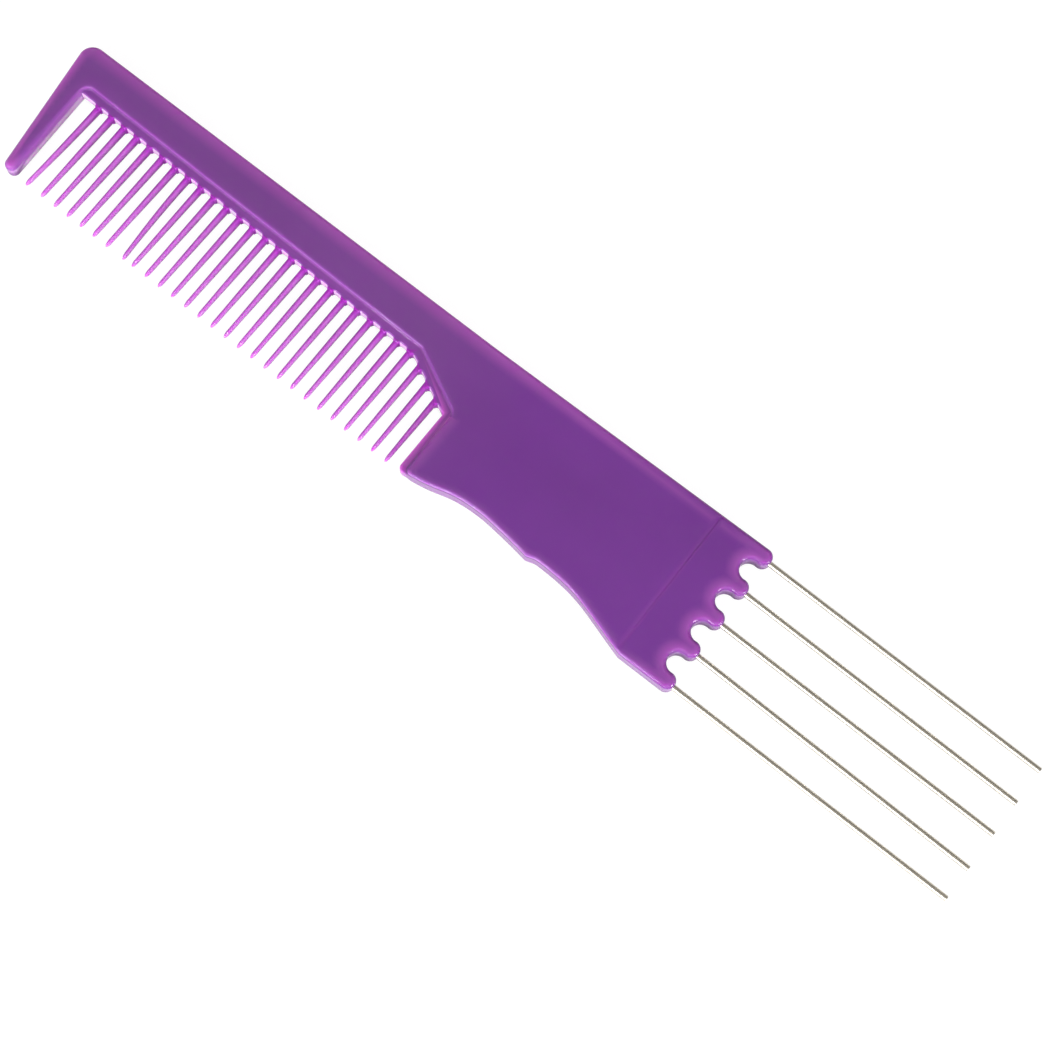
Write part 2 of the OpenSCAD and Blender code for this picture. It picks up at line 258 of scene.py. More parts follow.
class Plan:
    """Stations and outlines of the moulding, seen from the front."""

    def __init__(self, sizes):
        self.heel_x = BODY_LOW.x
        self.bay_x = self.heel_x + GUARD_WIDTH
        self.line_x = BODY_HIGH.x - HEAD_LENGTH
        self.handle_x = self.line_x - HANDLE_LENGTH
        self.boss_x = BODY_HIGH.x - BOSS_RADIUS
        self.head_y = BODY_HIGH.y
        self.low_y = BODY_LOW.y
        self.spine_y = self.head_y - SPINE_DROP
        self.tip_y = self.spine_y - TOOTH_REACH
        self.root_y = self.spine_y - ROOT_DEPTH
        self.corner_y = self.low_y + CORNER_RISE
        self.slope_x = self.handle_x - SLOPE_RUN
        self.slope = SLOPE_FALL / SLOPE_RUN
        self.sizes = sizes
        self.ledge_left = Vector((self.bay_x, self.root_y + BED_HEIGHT))
        self.ledge_turn = Vector((self.slope_x + BED_HEIGHT / 2, self.root_y - ROOT_FALL + BED_HEIGHT))
        down_x = self.handle_x + BED_HEIGHT
        self.ledge_down = Vector((down_x, self.ledge_turn.y - self.slope * (down_x - self.ledge_turn.x)))
        self.corner = Vector((self.handle_x, self.corner_y))
        self.ledge_foot = self.corner + BED_HEIGHT * Vector((1, START_SLOPE))

    def root_at(self, x):
        level = self.root_y - ROOT_FALL * (x - self.bay_x) / (self.slope_x - self.bay_x)
        return min(level, self.root_y - ROOT_FALL - self.slope * (x - self.slope_x))

    def tooth_x(self, number):
        return self.bay_x + FIRST_GAP + TOOTH_HALF + (number - 1) * self.sizes.tooth_pitch

    def pin_y(self, number):
        return self.head_y - BOSS_RADIUS - (number - 1) * PIN_PITCH

    def grip(self):
        """Knots of the handle's lower edge, with the reach and pull of each one's handles."""
        low = self.corner_y + SCALLOP_DEPTH
        ridge = low - RIDGE_HEIGHT
        second = ridge + SECOND_SCALLOP_DEPTH
        heights = [self.corner_y + START_SLOPE * 0.055 * HANDLE_LENGTH, low, ridge, second, self.low_y]
        shares = [0.055, 0.338, 0.547, 0.6, 1.016]
        back = [0, 0.16, 0.068, 0.026, 0.2]
        on = [0.13, 0.02, 0.024, 0.19, 0]
        pull_back = [0, 0, 0.52 * RIDGE_HEIGHT, 0, 0.67 * (second - self.low_y)]
        pull_on = [START_SLOPE * on[0] * HANDLE_LENGTH, 0, 0.4 * SECOND_SCALLOP_DEPTH, 0, 0]
        knots = [Vector((self.handle_x + s * HANDLE_LENGTH, y)) for s, y in zip(shares, heights)]
        points = []
        for k in range(4):
            points += bezier([
                knots[k],
                knots[k] + Vector((on[k] * HANDLE_LENGTH, pull_on[k])),
                knots[k + 1] + Vector((-back[k + 1] * HANDLE_LENGTH, pull_back[k + 1])),
                knots[k + 1]])
        return points

    def edge_at(self, x):
        """Rounding of the plate's edge, which grows from the insert line to the bosses."""
        share = max(0.0, min(1.0, (x - self.line_x) / (self.boss_x - NOTCH_SETBACK - self.line_x)))
        return self.sizes.edge_radius + (self.sizes.boss_edge_radius - self.sizes.edge_radius) * share

    def looks(self):
        """Painted light and shade on the plate's edges. Each look is the depth of the rim, and then the
        colours of the rim, of the middle of the rounding, of that middle where it faces the lamps, of its
        end, of the wall's two halves, and of the rounding at the foot of the wall. These paint a glow along
        the rims, a highlight where most roundings face the lamps, shade at the end and foot of several, and
        light on the walls."""
        sizes = self.sizes
        # clear holds the painted light of the pale floor seen through the walls, and wall the painted light
        # on the walls
        body, bed, glow, strip, shade, shine, wall, clear = (Vector(c) for c in (
            sizes.body_colour, sizes.bed_colour, sizes.painted_glow_colour, sizes.strip_glow_colour,
            sizes.shade_colour, sizes.painted_highlight_colour, sizes.painted_wall_light_colour, sizes.painted_floor_light_colour))
        # The mixes below: painted glow on the bed, a painted highlight line for the ledge, the painted wall
        # light darkened with the plastic for the shaded walls under the bosses, and painted glow with a
        # little painted highlight on the far walls
        soft = (bed * 3 + glow) / 4
        bright = (bed + glow) / 2
        line = (shine + body) / 2
        shaded_wall = (wall + body) / 2
        far_wall = (glow * 5 + shine) / 6
        return {
            "tip": (0.0012, glow, (glow + body * 3) / 4, (glow + bed) / 2, bed,
                    (wall * 3 + clear) / 4, wall, shade),
            "guard": (0.0024, bed, soft, bright, bed, soft, clear, shade),
            "outer": (0.0018, *[glow] * 7),
            "ledge": (0.0006, body, line, line, soft, soft, body, body),
            "slope": (0.0007, body, body, body, soft, soft, body, body),
            "beside": (0.002, (body * 4 + strip) / 5, (body + strip) / 2, bed, strip, strip, wall, wall),
            "corner": (0.002, (strip + body * 4) / 5, bed, shine, shade, wall, wall, wall),
            "grip": (0.0014, (bed + body) / 2, glow, shine, shade, wall, wall, wall),
            "boss": (0.0024, bright, (bed + shade * 3) / 4, (bed * 2 + shade) / 3, shaded_wall, shaded_wall,
                     (wall + shade) / 2, shade),
            "far": (0.0026, (glow * 4 + body) / 5, glow, glow, far_wall, far_wall, glow, glow),
        }

    def plate(self):
        """Points of the thick plate, counter-clockwise, as (point, edge radius, foot fillet, *look)."""
        sizes = self.sizes
        look_of = self.looks()
        heel = Vector((self.heel_x + HEEL_RADIUS, self.spine_y - HEEL_RADIUS))
        tip = Vector((self.bay_x + GUARD_LEAN - GUARD_TIP_RADIUS, self.tip_y + GUARD_TIP_RADIUS))
        across = tip - heel
        outer = 360 + bearing(across) - math.degrees(
            math.acos((HEEL_RADIUS - GUARD_TIP_RADIUS) / across.length))
        points = []

        def add(curve, radius, look, foot_start=0.0, foot_end=0.0):
            last = max(1, len(curve) - 1)
            for k, p in enumerate(curve):
                edge = self.edge_at(p.x) if radius is None else radius
                points.append((p, edge, foot_start + (foot_end - foot_start) * k / last, *look))

        def relook(look):
            points[-1] = (*points[-1][:3], *look)

        grip = self.grip()
        add(arc(tip, GUARD_TIP_RADIUS, outer, 360, 24), sizes.tip_edge_radius, look_of["tip"])
        inner = tip + Vector((GUARD_TIP_RADIUS, 0))
        along = min(1.0, TIP_LOOK_LENGTH / (self.ledge_left - inner).length)
        add([inner.lerp(self.ledge_left, along)],
            sizes.tip_edge_radius + (sizes.ledge_radius - sizes.tip_edge_radius) * along, look_of["guard"])
        add(rounded_corner(inner, self.ledge_left, self.ledge_turn, POCKET_RADIUS, 14),
            sizes.ledge_radius, look_of["guard"], 0.0, FOOT_FILLET)
        add(rounded_corner(self.ledge_left, self.ledge_turn, self.ledge_down, BED_HEIGHT),
            sizes.ledge_radius, look_of["ledge"], FOOT_FILLET, FOOT_FILLET)
        relook(look_of["slope"])
        add(rounded_corner(self.ledge_turn, self.ledge_down, self.ledge_foot, BED_HEIGHT),
            sizes.ledge_radius, look_of["slope"], FOOT_FILLET, FOOT_FILLET)
        relook(look_of["beside"])
        add(rounded_corner(self.ledge_down, self.ledge_foot, grip[0], CORNER_RADIUS, 14),
            sizes.edge_radius, look_of["corner"], FOOT_FILLET, 0.0)
        add(grip, None, look_of["grip"])
        gap = PIN_PITCH / 2
        notch_radius = math.hypot(NOTCH_SETBACK, gap) - BOSS_RADIUS
        blend = math.degrees(math.atan2(NOTCH_SETBACK, gap))
        notch_x = self.boss_x - NOTCH_SETBACK
        last = len(PIN_NODES)
        for number in range(last, 0, -1):
            y = self.pin_y(number)
            start = -90 if number == last else -90 - blend
            end = 90 if number == 1 else 90 + blend
            add(arc(Vector((self.boss_x, y)), BOSS_RADIUS, start, end, 28), None, look_of["boss"])
            if number > 1:
                add(arc(Vector((notch_x, y + gap)), notch_radius, 270 + blend, 90 - blend, 32), None,
                    look_of["boss"])
        add([Vector((self.handle_x, self.spine_y)), Vector((self.slope_x, self.spine_y))],
            sizes.edge_radius, look_of["far"])
        add(arc(heel, HEEL_RADIUS, 90, outer, 24), sizes.edge_radius, look_of["far"])
        relook(look_of["outer"])
        return points

    def bed(self):
        """Points of the thin bed: slot tops, then round the part sunk in the plate."""
        sizes = self.sizes
        half = sizes.tooth_width / 2 - TOOTH_INSET

        def slot_top(left, right):
            a, b = Vector((left, self.root_at(left))), Vector((right, self.root_at(right)))
            down = Vector((0, -0.01))
            return (rounded_corner(a + down, a, b, SLOT_RADIUS, 6)
                    + rounded_corner(a, b, b + down, SLOT_RADIUS, 6))

        curve = slot_top(self.bay_x, self.tooth_x(1) - half)
        for number in range(1, sizes.tooth_count):
            curve += slot_top(self.tooth_x(number) + half, self.tooth_x(number + 1) - half)
        curve += slot_top(self.tooth_x(sizes.tooth_count) + half, self.handle_x)
        knot = self.grip()[0]
        curve += rounded_corner(Vector((self.handle_x, self.root_y)), self.corner, knot, CORNER_RADIUS)
        curve += [
            knot, knot + Vector((0, CORNER_RADIUS)),
            self.ledge_foot + Vector((CORNER_RADIUS, CORNER_RADIUS)),
            self.ledge_down + Vector((SUNK, SUNK)), self.ledge_turn + Vector((SUNK, SUNK)),
            self.ledge_left + Vector((-SUNK, SUNK)), Vector((self.bay_x - SUNK, self.root_y - SLOT_RADIUS))]
        return [(p, BED_EDGE_RADIUS, 0.0) for p in curve]


# ---------------------------------------------------------------- mesh making

def without_repeats(points, least=0.000001):
    return [p for k, p in enumerate(points) if (p[0] - points[k - 1][0]).length > least]


def outward_of(points):
    """Mitre vectors that move every side of a closed outline out by one unit."""
    count = len(points)
    sides = []
    for k in range(count):
        step = (points[(k + 1) % count] - points[k]).normalized()
        sides.append(Vector((step.y, -step.x)))
    out = []
    for k in range(count):
        both = sides[k - 1] + sides[k]
        out.append(2 * both / both.dot(both))
    return out


def rounded_slab(shape, outline, low, high, bed_low=None, steps=6):
    """Closed slab over an outline, with rounded edges, and fillets where it stands on the bed."""
    outline = without_repeats(outline)
    points = [entry[0] for entry in outline]
    outward = outward_of(points)
    profile = []
    for k in range(steps + 1):
        angle = math.radians(90 - 90 * k / steps)
        profile.append(lambda r, f, a=angle: (-r * (1 - math.cos(a)), r * (1 - math.sin(a))))
    if bed_low is not None:
        depth = bed_low - low
        for k in range(5):
            angle = math.radians(90 * k / 4)
            profile.append(lambda r, f, a=angle: (
                f * (1 - math.cos(a)), max(r + 1e-6, depth - f + f * math.sin(a)) if f else
                r + max(depth - r, 0.0001) * (0.5 + 0.5 * a / (math.pi / 2))))
        profile.append(lambda r, f: (f, depth * 2))
    lower = [[step(*entry[1:3]) for entry in outline] for step in profile]
    rings = []
    for row in lower:
        rings.append([shape.verts.new((*(p + out * row[k][0]), low + row[k][1]))
                      for k, (p, out) in enumerate(zip(points, outward))])
    for row in reversed(lower):
        rings.append([shape.verts.new((*(p + out * row[k][0]), high - row[k][1]))
                      for k, (p, out) in enumerate(zip(points, outward))])
    count = len(points)
    for under, over in zip(rings, rings[1:]):
        for k in range(count):
            j = (k + 1) % count
            shape.faces.new((under[k], under[j], over[j], over[k]))
    shape.faces.new(list(reversed(rings[0])))
    shape.faces.new(rings[-1])


def tooth_sections(plan, number):
    """Sections of one tooth, from inside the bed down to its rounded tip."""
    sizes = plan.sizes
    x = plan.tooth_x(number)
    lean = FIRST_LEAN if number == 1 else SPRUNG_LEAN if number == SPRUNG_TOOTH else 0.0
    root = plan.root_at(x)
    top = root + BED_HEIGHT / 2
    length = top - plan.tip_y
    mid = (BODY_LOW.z + BODY_HIGH.z) / 2
    bed = sizes.bed_thickness - BED_SKIN
    run = length - TOOTH_TIP_LENGTH
    low = ROOT_STATIONS[-1]
    stations = list(ROOT_STATIONS)
    stations += [low + (run - low) * k / 6 for k in range(1, 7)]
    stations += [run + TOOTH_TIP_LENGTH * math.sin(math.radians(90 * k / 6)) for k in range(1, 6)]
    stations.append(run + TOOTH_TIP_LENGTH * 0.997)
    rows = []
    for at in stations:
        share = at / length
        taper = 0.9 * share if share < 0.5 else 0.45 + 0.55 * min(1.0, (share - 0.5) / 0.38)
        wide = sizes.tooth_width + (sizes.tip_width - sizes.tooth_width) * taper
        thick = sizes.tooth_thickness + (sizes.tip_thickness - sizes.tooth_thickness) * taper
        flare = max(0.0, 1 - max(0.0, at - FLARE_START) / FLARE_LENGTH) ** 2
        thick += (bed - thick) * flare
        past = max(0.0, at - run) / TOOTH_TIP_LENGTH
        close = math.sqrt(max(0.0, 1 - past * past))
        rows.append((x + lean * share * share, top - at, wide / 2 * close, thick / 2 * close, mid,
                     2.5 - 0.4 * share))
    return rows


def tooth_solid(shape, rows, sides=20):
    rings = []
    for x, y, wide, thick, mid, power in rows:
        ring = []
        for k in range(sides):
            turn = 2 * math.pi * (k + 0.5) / sides
            c, s = math.cos(turn), math.sin(turn)
            ring.append(shape.verts.new((
                x + wide * math.copysign(abs(c) ** (2 / power), c), y,
                mid + thick * math.copysign(abs(s) ** (2 / power), s))))
        rings.append(ring)
    for under, over in zip(rings, rings[1:]):
        for k in range(sides):
            j = (k + 1) % sides
            shape.faces.new((under[k], over[k], over[j], under[j]))
    shape.faces.new(rings[0])
    shape.faces.new(list(reversed(rings[-1])))


def prism(shape, section, start, end):
    """Closed prism over a section of points, from start to end."""
    a = [shape.verts.new(p + start) for p in section]
    b = [shape.verts.new(p + end) for p in section]
    count = len(section)
    for k in range(count):
        j = (k + 1) % count
        shape.faces.new((a[k], a[j], b[j], b[k]))
    shape.faces.new(list(reversed(a)))
    shape.faces.new(b)


def insert_line_cutter(shape, plan):
    """Two shallow V grooves across the faces, where two mould inserts met."""
    x = plan.line_x
    low_y, high_y = plan.low_y - GROOVE_OVERRUN, plan.head_y + GROOVE_OVERRUN
    wide = GROOVE_HALF * (1 + GROOVE_PROUD / GROOVE_DEPTH)
    for z, way in ((BODY_HIGH.z, 1), (BODY_LOW.z, -1)):
        section = [Vector((x, 0, z - way * GROOVE_DEPTH)), Vector((x + wide, 0, z + way * GROOVE_PROUD)),
                   Vector((x - wide, 0, z + way * GROOVE_PROUD))]
        prism(shape, section, Vector((0, low_y, 0)), Vector((0, high_y, 0)))


def solid_object(name, fill):
    """Object with a closed mesh whose faces point outwards."""
    shape = bmesh.new()
    fill(shape)
    bmesh.ops.recalc_face_normals(shape, faces=shape.faces)
    mesh = bpy.data.meshes.new(name)
    shape.to_mesh(mesh)
    shape.free()
    made = bpy.data.objects.new(name, mesh)
    bpy.context.scene.collection.objects.link(made)
    return made


def baked(made):
    """Turns the object's modifiers into its own mesh."""
    bpy.context.view_layer.update()
    evaluated = made.evaluated_get(bpy.context.evaluated_depsgraph_get())
    mesh = bpy.data.meshes.new_from_object(evaluated)
    made.modifiers.clear()
    old = made.data
    made.data = mesh
    bpy.data.meshes.remove(old)


def combine(made, tool, operation):
    """Joins the tool's solid to the object, or cuts it away, and removes the tool."""
    step = made.modifiers.new(operation.lower(), "BOOLEAN")
    step.operation = operation
    step.solver = "MANIFOLD"
    step.object = tool
    baked(made)
    bpy.data.objects.remove(tool)


def net_caps(made, pitch=0.0007, deep=0.0034):
    """Meshes the two flat faces anew, with a net of points along their edges to carry the colours."""
    shape = bmesh.new()
    shape.from_mesh(made.data)
    for z, under in ((BODY_LOW.z, True), (BODY_HIGH.z, False)):
        # Dictionaries keep their order, so every run meshes the caps in the same order
        faces = dict.fromkeys(f for f in shape.faces if all(abs(v.co.z - z) < 0.000002 for v in f.verts))
        edges = dict.fromkeys(e for f in faces for e in f.edges)
        rim = [e for e in edges if sum(f in faces for f in e.link_faces) == 1]
        on_rim = dict.fromkeys(v for e in rim for v in e.verts)
        verts = list(on_rim)
        inside = [v for v in dict.fromkeys(v for f in faces for v in f.verts) if v not in on_rim]
        bmesh.ops.delete(shape, geom=list(faces), context="FACES_ONLY")
        loose = [e for e in shape.edges if not e.link_faces]
        bmesh.ops.delete(shape, geom=loose, context="EDGES")
        bmesh.ops.delete(shape, geom=[v for v in inside if v.is_valid], context="VERTS")
        place_of = {v: k for k, v in enumerate(verts)}
        near = []
        for e in rim:
            steps = 1 + int(e.calc_length() / (pitch * 0.5))
            near += [e.verts[0].co.lerp(e.verts[1].co, j / steps) for j in range(steps)]
        tree = KDTree(len(near))
        for k, p in enumerate(near):
            tree.insert(p, k)
        tree.balance()
        points = [v.co.xy for v in verts]
        sides = [(place_of[e.verts[0]], place_of[e.verts[1]]) for e in rim]
        low, high = BODY_LOW, BODY_HIGH
        for row in range(int((high.y - low.y) / (pitch * 0.866))):
            for k in range(int((high.x - low.x) / pitch)):
                p = Vector((low.x + (k + 0.5 * (row % 2)) * pitch, low.y + row * pitch * 0.866))
                if pitch * 0.5 < tree.find((*p, z))[2] < deep:
                    points.append(p)
        places, _, corners, origins, _, _ = delaunay_2d_cdt(points, sides, [], 1, 1e-8)
        used = {k for face in corners for k in face}
        made_verts = {k: verts[origins[k][0]] if origins[k] and origins[k][0] < len(verts)
                      else shape.verts.new((*places[k], z)) for k in used}
        for face in corners:
            ring = [made_verts[k] for k in face]
            shape.faces.new(list(reversed(ring)) if under else ring)
    shape.to_mesh(made.data)
    shape.free()


class Colours:
    """Gives the colour painted at a place: the plastic deep where it is thick and pale where it is thin,
    with painted glow, highlights, shade and wall light along its edges.
    """

    def __init__(self, plan):
        self.plan = plan
        self.middle = (BODY_LOW.z + BODY_HIGH.z) / 2
        outline = without_repeats(plan.plate())
        outward = outward_of([entry[0] for entry in outline])
        self.places = []
        for k, entry in enumerate(outline):
            after = outline[(k + 1) % len(outline)]
            count = max(1, int((after[0] - entry[0]).length / COLOUR_STEP))
            for j in range(count):
                share = j / count
                look = [a + (b - a) * share for a, b in zip(entry[3:], after[3:])]
                self.places.append((entry[0].lerp(after[0], share), outward[k], entry[1], look))
        self.tree = KDTree(len(self.places))
        for k, entry in enumerate(self.places):
            self.tree.insert((entry[0].x, entry[0].y, 0.0), k)
        self.tree.balance()

    def ledge_y(self, x):
        plan = self.plan
        return min(plan.root_at(x) + BED_HEIGHT, plan.ledge_turn.y - plan.slope * (x - plan.ledge_turn.x))

    def on_tooth(self, place, down):
        """Teeth are deeper in colour at their roots, have painted shade on the side turned from the lamps,
        and are painted a little paler towards their tips with the light of the pale floor.
        """
        plan = self.plan
        sizes = plan.sizes
        first, pitch = plan.tooth_x(1), sizes.tooth_pitch
        share = min(1.0, down / TOOTH_REACH * 1.5)
        number = 1 + round((place.x - first) / pitch)
        lean = FIRST_LEAN if number == 1 else SPRUNG_LEAN if number == SPRUNG_TOOTH else 0.0
        side = (place.x - first - (number - 1) * pitch - lean * share * share) / sizes.tooth_width * 2
        lit = max(0.0, min(1.0, 0.6 + 1.3 * side))
        colour = Vector(sizes.tooth_shade).lerp(Vector(sizes.tooth_colour), lit)
        colour = colour.lerp(Vector(sizes.painted_floor_light_colour), 0.1 * share)
        return Vector(sizes.root_colour).lerp(colour, min(1.0, down / ROOT_FADE))

    def on_bed(self, place, level):
        """The bed's face, its walls at the tops of the slots with the painted light of the pale floor, and
        its strip beside the handle, partly the thinner plastic and partly a painted glow.
        """
        sizes = self.plan.sizes
        beside = max(0.0, min(1.0, (place.x - self.plan.handle_x + STRIP_FADE) / STRIP_FADE))
        if level < sizes.bed_thickness / 2 - COLOUR_MARGIN and not beside:
            return Vector(sizes.painted_floor_light_colour)
        inward = max(0.0, min(1.0, (place.x - self.plan.handle_x) / BED_HEIGHT))
        return Vector(sizes.bed_colour).lerp(Vector(sizes.strip_glow_colour), beside * (1 - 0.7 * inward))

    def plastic(self, x):
        """The plate is a little deeper in colour along the handle than along the teeth, where it is painted
        paler and greyer with a faint painted reflection.
        """
        sizes = self.plan.sizes
        share = max(0.0, min(1.0, (x - self.plan.slope_x) / (2 * SLOPE_RUN)))
        return Vector(sizes.body_colour).lerp(Vector(sizes.deep_colour), share)

    def on_edge(self, place, drop, radius, out, look):
        """Painted light and shade on the plate's rounded edge, from the rim down to the wall, and on the
        wall.
        """
        _, rim, curve, shine, end, upper, lower, base = look
        # Below the middle: the wall's lower half, and the look's colour on the rounding at the foot, a
        # painted shade on several edges
        if place.z < self.middle:
            return base if drop < 0.99 * radius else lower
        # The more an edge faces the lamps, the more the middle of its rounding and its end take the look's
        # lamp-facing colours: on most edges a painted highlight and a painted shade
        facing = max(0.0, Vector((0.2, -0.98)).dot(out.normalized()))
        end = curve.lerp(end, facing)
        curve = curve.lerp(shine, facing ** 3)
        fall = min(1.0, drop / radius)
        if fall < 0.5:
            # A painted highlight line stays narrow, and a painted shade starts at the rim
            return rim.lerp(curve, (fall / 0.5) ** (3 if curve.y > rim.y else 0.8))
        if fall < 0.99:
            return curve.lerp(end, min(1.0, (fall - 0.5) / 0.3))
        bed = self.plan.sizes.bed_thickness / 2
        share = (drop - radius) / max(0.0001, self.middle - BODY_LOW.z - bed - radius)
        return end.lerp(upper, max(0.0, min(1.0, 2.5 * share - 1.5)))

    def at(self, place):
        """Colour at a vertex: on a tooth, on the bed, or on the plate's face, edge or wall."""
        plan = self.plan
        level = abs(place.z - self.middle)
        _, index, distance = self.tree.find((place.x, place.y, 0.0))
        spot, out, radius, look = self.places[index]
        in_bay = (plan.bay_x - COLOUR_MARGIN < place.x < plan.handle_x + BED_HEIGHT
                  and place.y < self.ledge_y(place.x) - COLOUR_MARGIN)
        beyond = (Vector((place.x, place.y)) - spot).dot(out) > HAIR
        if level < plan.sizes.bed_thickness / 2 + 0.00001 and in_bay and beyond:
            down = plan.root_at(place.x) - place.y
            if down > 0.0001 and place.x < plan.handle_x - TOOTH_HALF:
                return self.on_tooth(place, down)
            return self.on_bed(place, level)
        body = self.plastic(place.x)
        drop = self.middle - BODY_LOW.z - level
        # The insert line's groove is painted a little towards the painted glow, so it shows as a faint
        # lighter line
        if abs(place.x - plan.line_x) < GROOVE_HALF + 0.00005 and drop < GROOVE_DEPTH + 0.00001:
            return body.lerp(Vector(plan.sizes.painted_glow_colour), 0.15)
        depth, rim = look[:2]
        # Away from the edges the flat faces keep the plastic's colour, and points off them are painted a
        # little towards the painted highlight
        if distance > depth:
            return body if drop < HAIR else body.lerp(Vector(plan.sizes.painted_highlight_colour), 0.3)
        # On the flat faces near an edge, the colour is painted towards the look's rim colour, a painted glow
        # along the far edges, the guard's tip and the bosses
        if drop < HAIR:
            return body.lerp(rim, max(0.0, min(1.0, 1 - (distance - radius) / max(depth - radius, 0.0001))))
        return self.on_edge(place, drop, radius, out, look)


def smooth(made, degrees):
    mesh = made.data
    mesh.shade_smooth()
    mesh.set_sharp_from_angle(angle=math.radians(degrees))
    normals = made.modifiers.new("flat faces stay flat", "WEIGHTED_NORMAL")
    normals.mode = "FACE_AREA"
    normals.weight = 100
    normals.keep_sharp = True
    baked(made)


# ---------------------------------------------------------------- finishes

def new_material(name):
    material = bpy.data.materials.new(name)
    material.use_nodes = True
    nodes = material.node_tree.nodes
    nodes.clear()
    output = nodes.new("ShaderNodeOutputMaterial")
    shader = nodes.new("ShaderNodeBsdfPrincipled")
    material.node_tree.links.new(shader.outputs["BSDF"], output.inputs["Surface"])
    return material, shader, output


def place_noise(material, scale, stretch, detail=3.0, rough=0.5):
    """Noise in the object's own metres, stretched by a mapping."""
    nodes, links = material.node_tree.nodes, material.node_tree.links
    where = nodes.new("ShaderNodeTexCoord")
    mapping = nodes.new("ShaderNodeMapping")
    mapping.inputs["Scale"].default_value = stretch
    noise = nodes.new("ShaderNodeTexNoise")
    noise.inputs["Scale"].default_value = scale
    noise.inputs["Detail"].default_value = detail
    noise.inputs["Roughness"].default_value = rough
    links.new(where.outputs["Object"], mapping.inputs["Vector"])
    links.new(mapping.outputs["Vector"], noise.inputs["Vector"])
    return noise


def spread(material, source, low, high, start=0.3, end=0.7):
    """Maps a noise to a range of values."""
    nodes, links = material.node_tree.nodes, material.node_tree.links
    remap = nodes.new("ShaderNodeMapRange")
    remap.inputs["From Min"].default_value = start
    remap.inputs["From Max"].default_value = end
    remap.inputs["To Min"].default_value = low
    remap.inputs["To Max"].default_value = high
    links.new(source.outputs[0], remap.inputs["Value"])
    return remap


def relief(material, shader, source, distance, strength):
    nodes, links = material.node_tree.nodes, material.node_tree.links
    bump = nodes.new("ShaderNodeBump")
    bump.inputs["Distance"].default_value = distance
    bump.inputs["Strength"].default_value = strength
    links.new(source.outputs[0], bump.inputs["Height"])
    links.new(bump.outputs["Normal"], shader.inputs["Normal"])
    return bump


def purple_plastic(settings):
    """Cloudy purple plastic: part of the light scatters in it, part goes through the dye,
    and the skin is polished with faint handling marks."""
    material, shader, output = new_material("cloudy_purple_plastic")
    links = material.node_tree.links
    nodes = material.node_tree.nodes
    # The base colour is the painted vertex colour: the plastic's tint with painted glow, highlights and
    # shade
    painted = nodes.new("ShaderNodeAttribute")
    painted.attribute_name = "plastic_colour_and_painted_light"
    flow = place_noise(material, 90.0, (0.5, 1.0, 1.0), 2.0, 0.5)
    drift = spread(material, flow, 0.96, 1.04)
    uneven = nodes.new("ShaderNodeVectorMath")
    uneven.operation = "SCALE"
    links.new(painted.outputs["Color"], uneven.inputs[0])
    links.new(drift.outputs["Result"], uneven.inputs["Scale"])
    links.new(uneven.outputs[0], shader.inputs["Base Color"])
    shader.inputs["Transmission Weight"].default_value = settings.clearness
    shader.subsurface_method = "RANDOM_WALK"
    shader.inputs["Subsurface Weight"].default_value = 1.0
    shader.inputs["Subsurface Radius"].default_value = (1.0, 0.3, 0.9)
    shader.inputs["Subsurface Scale"].default_value = settings.cloud_depth
    shader.inputs["IOR"].default_value = 1.5
    shader.inputs["Specular IOR Level"].default_value = 0.25
    wear = place_noise(material, 900.0, (1.0, 1.0, 1.0), 5.0, 0.6)
    rough = spread(material, wear, settings.gloss_roughness * 0.6, settings.gloss_roughness * 1.6)
    links.new(rough.outputs["Result"], shader.inputs["Roughness"])
    waves = place_noise(material, 260.0, (0.6, 1.0, 1.0), 2.0, 0.4)
    relief(material, shader, waves, 0.00002, 0.3)
    dye = material.node_tree.nodes.new("ShaderNodeVolumeAbsorption")
    dye.inputs["Color"].default_value = (*settings.let_through, 1.0)
    dye.inputs["Density"].default_value = settings.depth_of_colour
    links.new(dye.outputs["Volume"], output.inputs["Volume"])
    return material


def drawn_steel(settings):
    """Bright drawn wire: fine lines along the pin, a little uneven in gloss."""
    material, shader, output = new_material("bright_drawn_steel")
    links = material.node_tree.links
    shader.inputs["Metallic"].default_value = 1.0
    lines = place_noise(material, 1.0, (120.0, 26000.0, 26000.0), 4.0, 0.6)
    patches = place_noise(material, 300.0, (0.4, 1.0, 1.0), 3.0, 0.5)
    colour = material.node_tree.nodes.new("ShaderNodeMix")
    colour.data_type = "RGBA"
    colour.inputs["A"].default_value = (*[c * 0.86 for c in settings.steel], 1.0)
    colour.inputs["B"].default_value = (*settings.steel, 1.0)
    links.new(patches.outputs["Fac"], colour.inputs["Factor"])
    links.new(colour.outputs["Result"], shader.inputs["Base Color"])
    rough = spread(material, lines, settings.roughness * 0.7, settings.roughness * 1.4)
    links.new(rough.outputs["Result"], shader.inputs["Roughness"])
    relief(material, shader, lines, 0.000004, 0.25)
    return material


# ---------------------------------------------------------------- operators

